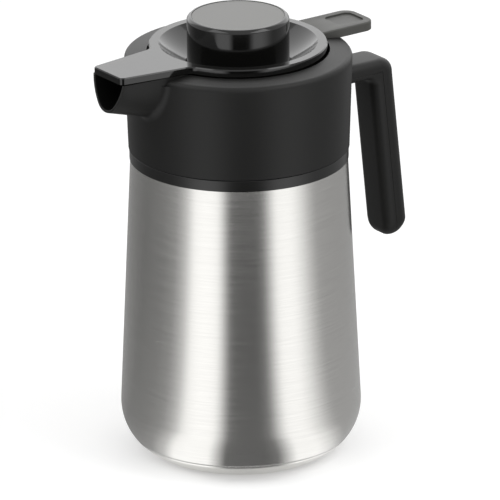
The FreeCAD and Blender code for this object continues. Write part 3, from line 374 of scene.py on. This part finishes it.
def satin_turned_aluminium(sizes, colours):
    # Aluminium disc, turned and anodised: fine rings about its centre under a satin skin.
    # They are drawn coarser than a real tool leaves them, so that they show.
    material, tree = new_material("satin_turned_aluminium")
    place = add_node(tree, "ShaderNodeTexCoord")
    # One ring of the wave texture at scale 1 is pi / 10 units wide.
    rings = add_node(tree, "ShaderNodeTexWave", {
        "Vector": place.outputs["Object"], "Scale": math.pi / 10 / sizes.turning_line, "Distortion": 0.0,
    }, wave_type="RINGS", rings_direction="Z")
    rough = add_node(tree, "ShaderNodeMapRange", {
        "Value": rings.outputs["Fac"], "To Min": 0.36, "To Max": 0.42,
    })
    finish_material(tree, {
        "Base Color": opaque(colours.disc_grey),
        "Metallic": 0.75,
        "Roughness": rough.outputs["Result"],
    })
    return material


def plain_moulded_plastic(sizes, colours):
    # Food-grade polypropylene under the lid: slightly waxy, with faint flow marks.
    return patchy_material(
        "plain_moulded_polypropylene", colours.inner_grey, sizes.polish_wave, detail=2.0, dull=(0.35, 0.5)
    )


def silicone_rubber(sizes, colours):
    # Moulded silicone: dull, soft-looking, with a dusting that scatters light.
    return patchy_material(
        "moulded_silicone", colours.seal_grey, sizes.mould_grain, detail=2.0, dull=(0.6, 0.75)
    )


MAKERS = {
    "brushed_steel": brushed_stainless_steel,
    "polished_steel": polished_stainless_steel,
    "bright_steel": bright_steel,
    "matte_black": matt_moulded_plastic,
    "lever_grey": lever_moulded_plastic,
    "satin_black": satin_moulded_plastic,
    "gloss_black": gloss_moulded_plastic,
    "satin_disc": satin_turned_aluminium,
    "grey_plastic": plain_moulded_plastic,
    "seal_rubber": silicone_rubber,
}
finishes = {}
SLOTS = {part["node"]: part["material_slot"] for part in frame["record"]["subparts"]}
BODIES = {node: body for body, nodes in frame["record"]["behaviour"]["bodies"].items() for node in nodes}


def finish_of(context, slot):
    """The material for one of the record's slots, made once."""
    if slot not in finishes:
        finishes[slot] = MAKERS[slot](context.scene.carafe_sizes, context.scene.carafe_colours)
    return finishes[slot]


def arc(centre, radius, start, finish):
    """Points (radius from the axis, height) of a round stretch of an outline, between two angles."""
    count = max(2, math.ceil(abs(finish - start) / ARC_STEP))
    angles = [start + (finish - start) * i / count for i in range(count + 1)]
    return [(centre[0] + radius * math.cos(a), centre[1] + radius * math.sin(a)) for a in angles]


def mesh_of(name, shape):
    """The mesh of a finished bmesh, which is freed."""
    mesh = bpy.data.meshes.new(name)
    shape.to_mesh(mesh)
    shape.free()
    return mesh


def closed_mesh(name, shape):
    """The mesh of a new shape, with its doubles merged and its faces turned outwards."""
    bmesh.ops.remove_doubles(shape, verts=shape.verts, dist=WELD)
    bmesh.ops.recalc_face_normals(shape, faces=shape.faces)
    return mesh_of(name, shape)


def turn_outline(shape, outline, steps, closed=False):
    """Spins an outline of (radius, height) points a full turn about the jug's axis."""
    points = [shape.verts.new((r, 0.0, z)) for r, z in outline]
    lines = [shape.edges.new(pair) for pair in zip(points, points[1:])]
    if closed:
        lines.append(shape.edges.new((points[-1], points[0])))
    bmesh.ops.spin(
        shape, geom=points + lines, cent=(0, 0, 0), axis=(0, 0, 1), angle=math.tau, steps=steps,
        use_merge=True,
    )


def spin_outline(name, outline, closed):
    """A round mesh about the jug's axis, from an outline of (radius, height) points."""
    shape = bmesh.new()
    turn_outline(shape, outline, TURN_STEPS, closed)
    return closed_mesh(name, shape)


def welded_copy(node, soft=None, width=0.0):
    """A copy of a CAD node's mesh with its triangles joined, and its soft edges rounded to this width."""
    mesh = frame["nodes"][node].data.copy()
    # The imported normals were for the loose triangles.
    mesh.attributes.remove(mesh.attributes["custom_normal"])
    shape = bmesh.new()
    shape.from_mesh(mesh)
    bmesh.ops.remove_doubles(shape, verts=shape.verts, dist=WELD)
    if soft:
        bmesh.ops.dissolve_limit(shape, angle_limit=FLAT, verts=shape.verts, edges=shape.edges)
        crisp = [edge for edge in shape.edges if edge.is_manifold and edge.calc_face_angle() > CRISP]
        chosen = [edge for edge in crisp if soft(edge.verts[0].co) and soft(edge.verts[1].co)]
        if not chosen:
            raise RuntimeError(f"{node} has no edges to soften")
        bmesh.ops.bevel(
            shape, geom=chosen, offset=width, offset_type="OFFSET", affect="EDGES", segments=ROUND_STEPS,
            profile=0.5, clamp_overlap=True, material=-1,
        )
    shape.to_mesh(mesh)
    shape.free()
    return mesh


def bar_section(depth, half, corner, seam):
    """Points (depth from the seam, place across) of a bar's section, with round corners and a fine seam."""
    angles = [math.pi / 2 * i / CORNER_STEPS for i in range(CORNER_STEPS + 1)]
    side = [(0.0, half - seam), (seam, half)]
    side += [(depth - corner * (1 - math.sin(a)), half - corner * (1 - math.cos(a))) for a in angles]
    return side + [(u, -v) for u, v in reversed(side)]


def sweep_bar(name, stations, seam):
    """A bar through stations of (seam point, face point, half width, corner round)."""
    shape = bmesh.new()
    loops = []
    for start, face, half, corner in stations:
        away = (face - start).normalized()
        section = bar_section((face - start).length, half, corner, seam)
        ring = [shape.verts.new(start + away * u + Vector((0, v, 0))) for u, v in section]
        loops.append([shape.edges.new((ring[i - 1], ring[i])) for i in range(len(ring))])
    for one, two in zip(loops, loops[1:]):
        bmesh.ops.bridge_loops(shape, edges=one + two)
    for end in (loops[0], loops[-1]):
        bmesh.ops.edgeloop_fill(shape, edges=end)
    return closed_mesh(name, shape)


def dress(context, node, mesh):
    """Shows a mesh in place of a CAD node, with the node's finish and smooth shading."""
    name = f"{node}_skin"
    mesh.name = name
    mesh.shade_smooth()
    mesh.set_sharp_from_angle(angle=CRISP)
    mesh.materials.clear()
    mesh.materials.append(finish_of(context, SLOTS[node]))
    piece = bpy.data.objects.new(name, mesh)
    context.scene.collection.objects.link(piece)
    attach(piece, BODIES[node])
    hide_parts(node)
    return piece


def lower_round(sizes):
    """Centre, radius and upper end angle of the round from the base's edge to the leaning wall."""
    taper = sizes.belly_radius - sizes.shell_top_radius
    lean = math.atan2(taper, sizes.shell_top - sizes.belly_height)
    step = sizes.belly_radius - sizes.base_radius
    spread = step * math.cos(lean) + sizes.belly_height * math.sin(lean)
    bend = (step ** 2 + sizes.belly_height ** 2) / (2 * spread)
    centre = (sizes.belly_radius - bend * math.cos(lean), sizes.belly_height - bend * math.sin(lean))
    return centre, bend, lean


def angle_at(height, centre, radius):
    """Angle at which a round reaches this height, on its outer side."""
    return math.asin((height - centre[1]) / radius)


def ledge_radius(sizes):
    """Inner edge of the flat ledge under the ring."""
    return sizes.shell_top_radius - sizes.shoulder_width


def shell_outline(sizes):
    """Outside of the steel, from the bottom cap's edge to the top of the neck."""
    centre, bend, lean = lower_round(sizes)
    return arc(centre, bend, angle_at(sizes.cap_height, centre, bend), lean) + [
        (sizes.shell_top_radius, sizes.shell_top),
        (ledge_radius(sizes), sizes.shell_top),
        (sizes.neck_radius, sizes.shell_top + sizes.shoulder_rise),
        (sizes.neck_radius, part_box("shell_neck")[1].z),
    ]


def cap_outline(sizes):
    """Section of the bottom cap, from the middle of its base round its edge to the middle of its floor."""
    centre, bend, _ = lower_round(sizes)
    inside = bend - sizes.cap_wall
    edge = sizes.cap_height - sizes.cap_seam
    outline = [(0.0, 0.0)]
    outline += arc(centre, bend, angle_at(0.0, centre, bend), angle_at(edge, centre, bend))
    outline += arc(centre, inside, angle_at(edge, centre, inside), angle_at(sizes.cap_wall, centre, inside))
    return outline + [(0.0, sizes.cap_wall)]


def ring_outline(sizes):
    """Section of the ring, with its round edges and the line over it."""
    low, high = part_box("trim_ring")
    edge = sizes.edge_round
    line_low = high.z - sizes.ring_seam
    outline = [(ledge_radius(sizes), low.z)]
    outline += arc((high.x - edge, low.z + edge), edge, -math.pi / 2, 0.0)
    outline += arc((high.x - edge, line_low - edge), edge, 0.0, math.pi / 2)
    return outline + [
        (high.x - sizes.ring_step, line_low),
        (high.x - sizes.ring_step, high.z),
        (ledge_radius(sizes), high.z),
    ]


class CARAFE_OT_steel_body(bpy.types.Operator):
    """Brushed steel body, bottom cap and black ring"""

    bl_idname = "carafe.steel_body"
    bl_label = "Steel Body"

    def execute(self, context):
        sizes = context.scene.carafe_sizes
        shell = dress(
            context, "outer_shell", spin_outline("outer_shell", shell_outline(sizes), closed=False)
        )
        wall = shell.modifiers.new("wall", "SOLIDIFY")
        wall.thickness = sizes.shell_wall
        wall.offset = -1.0
        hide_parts("shell_neck")
        dress(context, "bottom_cap", spin_outline("bottom_cap", cap_outline(sizes), closed=False))
        dress(context, "trim_ring", spin_outline("trim_ring", ring_outline(sizes), closed=True))
        return {"FINISHED"}


class CARAFE_OT_collar(bpy.types.Operator):
    """Matt black collar with the spout"""

    bl_idname = "carafe.collar"
    bl_label = "Collar"

    def execute(self, context):
        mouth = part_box("collar")[0].x + context.scene.carafe_sizes.mouth_depth

        def at_mouth(place):
            return place.x < mouth

        edge = context.scene.carafe_sizes.edge_round
        dress(context, "collar", welded_copy("collar", at_mouth, edge))
        return {"FINISHED"}


class HandleLines:
    """Lines of the handle in its middle plane, worked out from its sizes."""

    def __init__(self, sizes):
        self.sizes = sizes
        self.low, self.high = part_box("handle_shell")
        self.arm_low = self.high.z - sizes.arm_thickness
        self.down = Vector((math.sin(sizes.grip_lean), 0, -math.cos(sizes.grip_lean)))
        self.out = Vector((math.cos(sizes.grip_lean), 0, math.sin(sizes.grip_lean)))
        self.end = (self.arm_low - self.low.z) / math.cos(sizes.grip_lean)
        self.seam_corner = self.crossing(self.high.z - sizes.arm_seam, sizes.grip_seam)

    def on_grip(self, depth, reach):
        """A point this deep from the grip's finger side and this far down the grip."""
        corner = Vector((self.sizes.grip_place, 0, self.arm_low))
        return corner + self.out * depth + self.down * reach

    def crossing(self, height, depth):
        """Where a level line meets a line down the grip, this deep from its finger side."""
        return self.on_grip(depth, (self.arm_low + self.out.z * depth - height) / -self.down.z)

    def drawn_in(self, reach, turn):
        """How far a round of this radius at the grip's lower end draws its face in."""
        past = min(1.0, max(0.0, 1 - (self.end - reach) / turn))
        return turn * (1 - math.sqrt(1 - past ** 2))

    def knee_path(self, level, depth, knee):
        """Seam point, face point and share of the turn, round the corner from arm to grip."""
        middle = self.seam_corner
        centre = self.crossing(level - knee, depth - knee)
        start = Vector((centre.x, 0, middle.z))
        finish = middle + self.down * self.down.dot(centre + self.out * knee - middle)
        for i in range(KNEE_STEPS + 1):
            share = i / KNEE_STEPS
            seam = start.lerp(middle, 2 * share) if share <= 0.5 else middle.lerp(finish, 2 * share - 1)
            angle = math.pi / 2 + (self.sizes.grip_lean - math.pi / 2) * share
            yield seam, centre + Vector((math.cos(angle), 0, math.sin(angle))) * knee, share

    def end_path(self, depth, turn):
        """Seam point, face point and narrowing, down the round lower end of the grip."""
        inward = self.out * math.copysign(1, self.sizes.grip_seam - depth)
        for i in range(KNEE_STEPS + 1):
            past = math.sin(math.pi / 2 * i / KNEE_STEPS)
            reach = self.end - self.sizes.grip_end * (1 - past)
            seam = self.on_grip(self.sizes.grip_seam, reach)
            face = self.on_grip(depth, reach) + inward * self.drawn_in(reach, turn)
            yield seam, face, self.drawn_in(reach, self.sizes.grip_end)

    def half(self, level, depth, knee, turn, arm_round, grip_round):
        """Stations from the root to the lower end of one half, for its face away from the seam."""
        path = [(Vector((self.low.x, 0, self.seam_corner.z)), Vector((self.low.x, 0, level)), 0.0, 0.0)]
        path += [(seam, face, share, 0.0) for seam, face, share in self.knee_path(level, depth, knee)]
        path += [(seam, face, 1.0, narrowing) for seam, face, narrowing in self.end_path(depth, turn)]
        stations = []
        for seam, face, share, narrowing in path:
            corner = arm_round + (grip_round - arm_round) * share
            corner = min(corner, (face - seam).length - self.sizes.handle_seam)
            stations.append((seam, face, self.high.y - narrowing, corner))
        return stations


class CARAFE_OT_handle(bpy.types.Operator):
    """Both halves of the matt black handle"""

    bl_idname = "carafe.handle"
    bl_label = "Handle"

    def execute(self, context):
        sizes = context.scene.carafe_sizes
        lines = HandleLines(sizes)
        shell = lines.half(
            level=lines.high.z, depth=sizes.grip_depth, knee=sizes.handle_knee, turn=sizes.grip_end,
            arm_round=sizes.arm_round_outside, grip_round=sizes.grip_round_outside,
        )
        liner = lines.half(
            level=lines.arm_low, depth=0.0, knee=sizes.handle_inner_knee, turn=sizes.grip_end_inside,
            arm_round=sizes.arm_round_inside, grip_round=sizes.grip_round_inside,
        )
        dress(context, "handle_shell", sweep_bar("handle_shell", shell, sizes.handle_seam))
        dress(context, "handle_liner", sweep_bar("handle_liner", liner, sizes.handle_seam))
        return {"FINISHED"}


class CARAFE_OT_lid(bpy.types.Operator):
    """Gloss black lid with its tongue, and the matt thumb piece"""

    bl_idname = "carafe.lid"
    bl_label = "Lid"

    def execute(self, context):
        sizes = context.scene.carafe_sizes
        dress(context, "lid_top", welded_copy("lid_top"))
        tab_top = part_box("thumb_piece")[1].z

        def on_tab(place):
            return place.z > tab_top - sizes.dimple_depth - WELD

        dress(context, "thumb_piece", welded_copy("thumb_piece", on_tab, sizes.edge_round))
        return {"FINISHED"}


class CARAFE_OT_knob(bpy.types.Operator):
    """Gloss black push knob and the satin disc in its top"""

    bl_idname = "carafe.knob"
    bl_label = "Knob"

    def execute(self, context):
        sizes = context.scene.carafe_sizes
        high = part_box("knob_cap")[1]
        bevel = sizes.knob_bevel + WELD

        def on_bevel(place):
            return place.z > high.z - bevel and place.xy.length > high.x - bevel

        dress(context, "knob_cap", welded_copy("knob_cap", on_bevel, sizes.edge_round))
        dress(context, "knob_disc", welded_copy("knob_disc"))
        return {"FINISHED"}


class CARAFE_OT_inner_parts(bpy.types.Operator):
    """Flask, neck, stopper, valve, seals, pin and screws"""

    bl_idname = "carafe.inner_parts"
    bl_label = "Inner Parts"

    def execute(self, context):
        # The spring stands on the lid and shortens by the knob's travel; here it only gets a mesh of its
        # own.
        spring = dress(context, "valve_spring", welded_copy("valve_spring"))
        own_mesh(spring)
        # Every node that nothing has replaced yet is shown as it was packed.
        for node, part in frame["nodes"].items():
            if not part.hide_render:
                dress(context, node, welded_copy(node))
        return {"FINISHED"}


class CARAFE_OT_studio(bpy.types.Operator):
    """Floor, light tent, lamps, sky and camera"""

    bl_idname = "carafe.studio"
    bl_label = "Studio"

    def execute(self, context):
        make_floor(context)
        make_tent(context)
        make_card(context)
        make_sky(context)
        make_lamps(context)
        make_camera(context)
        context.scene.view_settings.view_transform = "Standard"
        return {"FINISHED"}


def stage_object(context, name, shape, material):
    """A stage mesh that isn't part of the jug."""
    mesh = mesh_of(name, shape)
    mesh.materials.append(material)
    thing = bpy.data.objects.new(name, mesh)
    context.scene.collection.objects.link(thing)
    return thing


def seen_directly(tree):
    """1 on rays from the camera, from reflections and through glass, and 0 on the others."""
    path = add_node(tree, "ShaderNodeLightPath")
    seen = path.outputs["Is Camera Ray"]
    for name in ("Is Glossy Ray", "Is Transmission Ray"):
        either = add_node(tree, "ShaderNodeMath", {0: seen, 1: path.outputs[name]}, operation="MAXIMUM")
        seen = either.outputs["Value"]
    return seen


def make_floor(context):
    studio = context.scene.carafe_studio
    material, tree = new_material("white_studio_floor")
    white = opaque(context.scene.carafe_colours.floor_white)
    lit = add_node(tree, "ShaderNodeBsdfDiffuse", {"Color": white})
    level = add_node(tree, "ShaderNodeMath", {
        0: seen_directly(tree), 1: studio.floor_glow,
    }, operation="MULTIPLY")
    glow = add_node(tree, "ShaderNodeEmission", {"Strength": level.outputs["Value"]})
    both = add_node(tree, "ShaderNodeAddShader", {0: lit.outputs["BSDF"], 1: glow.outputs["Emission"]})
    add_node(tree, "ShaderNodeOutputMaterial", {"Surface": both.outputs["Shader"]})
    shape = bmesh.new()
    bmesh.ops.create_circle(shape, cap_ends=True, radius=studio.floor_radius, segments=STAGE_STEPS)
    bmesh.ops.translate(shape, verts=shape.verts, vec=(0, 0, -FLOOR_DROP))
    stage_object(context, "floor", shape, material)


# Brightness of the light tent by angle to the camera's right: two bright panels with a dark gap between
# them where the camera stands, and grey cloth at the sides.
TENT = [
    (-180, 0.4), (-107, 0.18), (-80, 0.23), (-65, 0.34), (-53, 0.8), (-45, 1.65), (-35, 1.75),
    (-21, 1.7), (-15, 0.8), (-10, 0.07), (15, 0.05), (23, 0.14), (29, 0.8), (36, 1.65),
    (52, 1.65), (62, 1.25), (73, 0.72), (82, 0.45), (146, 0.4), (180, 0.4),
]


def make_tent(context):
    studio = context.scene.carafe_studio
    material, tree = new_material("light_tent")
    place = add_node(tree, "ShaderNodeTexCoord")
    # The tent's angles are counted from the camera, whose own starts at -Y, a quarter turn back from +X.
    facing = add_node(tree, "ShaderNodeMapping", {
        "Vector": place.outputs["Object"], "Rotation": (0, 0, math.pi / 2 - studio.azimuth),
    })
    axes = add_node(tree, "ShaderNodeSeparateXYZ", {"Vector": facing.outputs["Vector"]})
    angle = add_node(tree, "ShaderNodeMath", {
        0: axes.outputs["Y"], 1: axes.outputs["X"],
    }, operation="ARCTAN2")
    share = add_node(tree, "ShaderNodeMapRange", {
        "Value": angle.outputs["Value"], "From Min": -math.pi, "From Max": math.pi,
    })
    cloth = add_node(tree, "ShaderNodeFloatCurve", {"Value": share.outputs["Result"]})
    highest = max(level for _, level in TENT)
    curve = cloth.mapping.curves[0]
    for _ in TENT[1:-1]:
        curve.points.new(0.0, 0.0)
    for point, (degrees, level) in zip(curve.points, TENT):
        point.location = (degrees / 360 + 0.5, level / highest)
        point.handle_type = "VECTOR"
    cloth.mapping.update()
    strength = add_node(tree, "ShaderNodeMath", {
        0: cloth.outputs["Value"], 1: highest,
    }, operation="MULTIPLY")
    # A grey cloth round the foot softens the bands on the lower body.
    reach = add_node(tree, "ShaderNodeVectorMath", {0: place.outputs["Object"]}, operation="LENGTH")
    near = add_node(tree, "ShaderNodeMapRange", {
        "Value": reach.outputs["Value"],
        "From Min": studio.tent_inside,
        "From Max": studio.foot_reach,
        "To Min": studio.foot_share,
        "To Max": 0.0,
    })
    level = add_node(tree, "ShaderNodeMix", {
        "Factor": near.outputs["Result"], "A": strength.outputs["Value"], "B": studio.foot_level,
    })
    glow = add_node(tree, "ShaderNodeEmission", {"Strength": level.outputs["Result"]})
    add_node(tree, "ShaderNodeOutputMaterial", {"Surface": glow.outputs["Emission"]})
    outline = [
        (studio.tent_inside, TENT_LIFT),
        (studio.tent_radius, TENT_LIFT),
        (studio.tent_radius, studio.tent_height),
    ]
    shape = bmesh.new()
    turn_outline(shape, outline, STAGE_STEPS)
    only_reflected(stage_object(context, "light_tent", shape, material))


def only_reflected(thing):
    """Shows a thing in reflections alone."""
    thing.visible_camera = False
    thing.visible_diffuse = False
    thing.visible_transmission = False
    thing.visible_shadow = False


def make_card(context):
    studio = context.scene.carafe_studio
    material, tree = new_material("light_card")
    glow = add_node(tree, "ShaderNodeEmission", {"Strength": studio.card_glow})
    add_node(tree, "ShaderNodeOutputMaterial", {"Surface": glow.outputs["Emission"]})
    away = direction(studio.azimuth + math.pi, studio.card_elevation)
    turn = away.to_track_quat("Z", "Y").to_matrix().to_4x4()
    middle = Vector((0, 0, studio.card_level)) + away * studio.tent_radius
    shape = bmesh.new()
    bmesh.ops.create_grid(shape, x_segments=1, y_segments=1, size=0.5)
    bmesh.ops.scale(shape, verts=shape.verts, vec=(studio.card_width, studio.card_height, 1.0))
    bmesh.ops.transform(shape, verts=shape.verts, matrix=Matrix.Translation(middle) @ turn)
    only_reflected(stage_object(context, "light_card", shape, material))


def make_sky(context):
    world = bpy.data.worlds.new("studio")
    world.use_nodes = True
    tree = world.node_tree
    tree.nodes.clear()
    level = add_node(tree, "ShaderNodeMapRange", {
        "Value": seen_directly(tree), "To Min": context.scene.carafe_studio.sky, "To Max": 1.0,
    })
    sky = add_node(tree, "ShaderNodeBackground", {
        "Color": (1, 1, 1, 1), "Strength": level.outputs["Result"],
    })
    add_node(tree, "ShaderNodeOutputWorld", {"Surface": sky.outputs["Background"]})
    context.scene.world = world


def make_lamps(context):
    studio = context.scene.carafe_studio
    middle = Vector((0, 0, studio.aim_height))
    lamps = [
        ("key_lamp", studio.key_power, studio.key_side, studio.key_rise),
        ("fill_lamp", studio.fill_power, studio.fill_side, studio.fill_rise),
    ]
    for name, power, side, rise in lamps:
        light = bpy.data.lights.new(name, "AREA")
        light.energy = power
        light.size = studio.lamp_size
        lamp = bpy.data.objects.new(name, light)
        away = direction(studio.azimuth + side, rise)
        lamp.location = middle + away * studio.lamp_distance
        lamp.rotation_euler = away.to_track_quat("Z", "Y").to_euler()
        context.scene.collection.objects.link(lamp)


def direction(azimuth, elevation):
    """Unit vector from the jug towards an azimuth, counted from -Y towards +X, and an elevation."""
    flat = math.cos(elevation)
    return Vector((math.sin(azimuth) * flat, -math.cos(azimuth) * flat, math.sin(elevation)))


def make_camera(context):
    studio = context.scene.carafe_studio
    lens = bpy.data.cameras.new("camera")
    lens.lens = lens.sensor_width * studio.distance / studio.view_width
    lens.clip_end = 4 * studio.distance
    camera = bpy.data.objects.new("camera", lens)
    away = direction(studio.azimuth, studio.elevation)
    right = Vector((math.cos(studio.azimuth), math.sin(studio.azimuth), 0))
    aim = Vector((0, 0, studio.aim_height)) + right * studio.aim_shift
    turn = away.to_track_quat("Z", "Y").to_matrix() @ Matrix.Rotation(-studio.roll, 3, "Z")
    camera.location = aim + away * studio.distance
    camera.rotation_euler = turn.to_euler()
    context.scene.collection.objects.link(camera)
    context.scene.camera = camera


class CARAFE_PT_panel(bpy.types.Panel):
    """Lists the steps that dress the carafe"""

    bl_label = "Thermal Carafe"
    bl_idname = "CARAFE_PT_panel"
    bl_space_type = "VIEW_3D"
    bl_region_type = "UI"
    bl_category = "Carafe"

    def draw(self, context):
        for step in STEPS:
            self.layout.operator(step.bl_idname)


STEPS = [
    CARAFE_OT_steel_body,
    CARAFE_OT_collar,
    CARAFE_OT_handle,
    CARAFE_OT_lid,
    CARAFE_OT_knob,
    CARAFE_OT_inner_parts,
    CARAFE_OT_studio,
]
GROUPS = {"carafe_sizes": CarafeSizes, "carafe_colours": CarafeColours, "carafe_studio": CarafeStudio}
CLASSES = [*GROUPS.values(), *STEPS, CARAFE_PT_panel]


def register():
    for thing in CLASSES:
        bpy.utils.register_class(thing)
    for name, group in GROUPS.items():
        setattr(bpy.types.Scene, name, bpy.props.PointerProperty(type=group))


def unregister():
    for name in GROUPS:
        delattr(bpy.types.Scene, name)
    for thing in reversed(CLASSES):
        bpy.utils.unregister_class(thing)


def main():
    register()
    bpy.ops.carafe.steel_body()
    bpy.ops.carafe.collar()
    bpy.ops.carafe.handle()
    bpy.ops.carafe.lid()
    bpy.ops.carafe.knob()
    bpy.ops.carafe.inner_parts()
    bpy.ops.carafe.studio()


if __name__ == "__main__":
    main()
